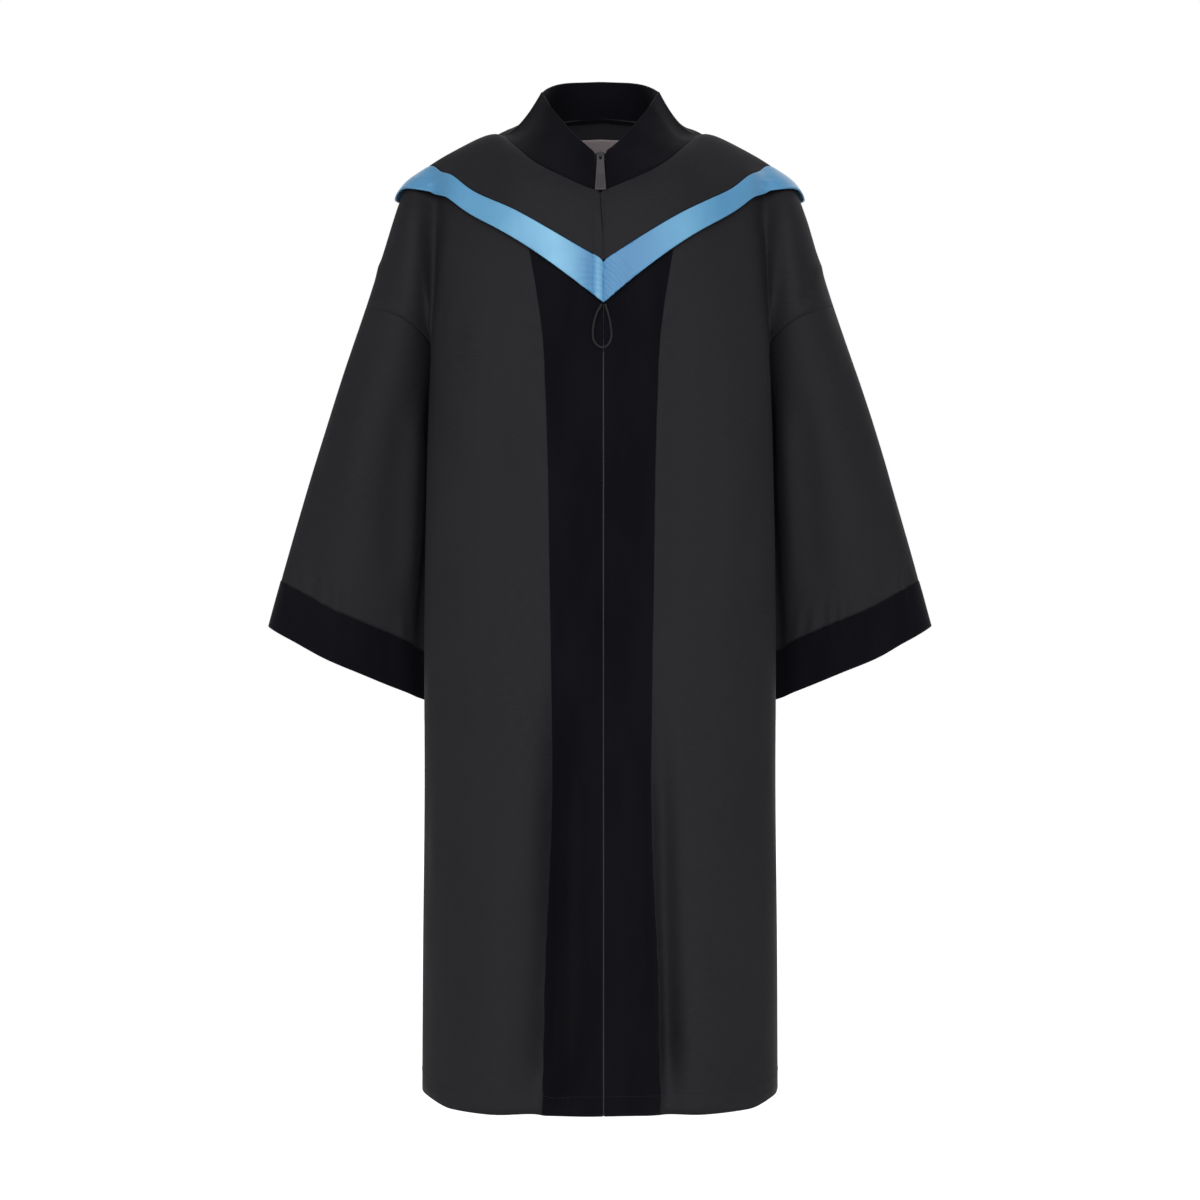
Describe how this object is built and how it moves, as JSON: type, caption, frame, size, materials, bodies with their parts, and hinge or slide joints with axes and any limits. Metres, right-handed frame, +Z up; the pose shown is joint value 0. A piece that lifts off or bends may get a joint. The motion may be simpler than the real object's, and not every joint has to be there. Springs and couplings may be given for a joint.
{
  "type": "graduation gown",
  "caption": "Worn, hollow graduation gown with bell sleeves, velvet bands and collar, a zip front and a shoulder cape edged in light blue satin.",
  "frame": {"origin": "the base of the neck between the shoulders, where a wearer or a stand carries the gown", "axes": "+Z up, the front faces -Y, +X is the wearer's left"},
  "size_m": [0.7974, 0.2887, 1.2012],
  "materials": {
    "gown_cloth": "charcoal satin-like woven cloth",
    "velvet": "black velvet",
    "satin_trim": "light blue satin",
    "label_cloth": "plain woven patch",
    "cord": "twisted dark cord",
    "zip_tape": "woven zip tape",
    "zip_metal": "dull grey metal"
  },
  "bodies": {
    "gown": {"back": "gown_cloth", "cape_left": "gown_cloth", "cape_right": "gown_cloth", "collar": "velvet", "cord_loop": "cord", "cuff_left": "velvet", "cuff_right": "velvet", "facing_left": "velvet", "facing_right": "velvet", "front_left": "gown_cloth", "front_right": "gown_cloth", "label": "label_cloth", "sleeve_left": "gown_cloth", "sleeve_right": "gown_cloth", "trim_left": "satin_trim", "trim_right": "satin_trim", "zip_slider": "zip_metal", "zip_tape": "zip_tape"},
    "zip_pull": {"zip_pull": "zip_metal"}
  },
  "joints": [
    {"name": "zip_pull_hinge", "type": "hinge", "parent": "gown", "child": "zip_pull", "pos_m": [0.0005, -0.09381, -0.043], "axis": [-1, 0, 0], "range_deg": [0, 150]}
  ]
}
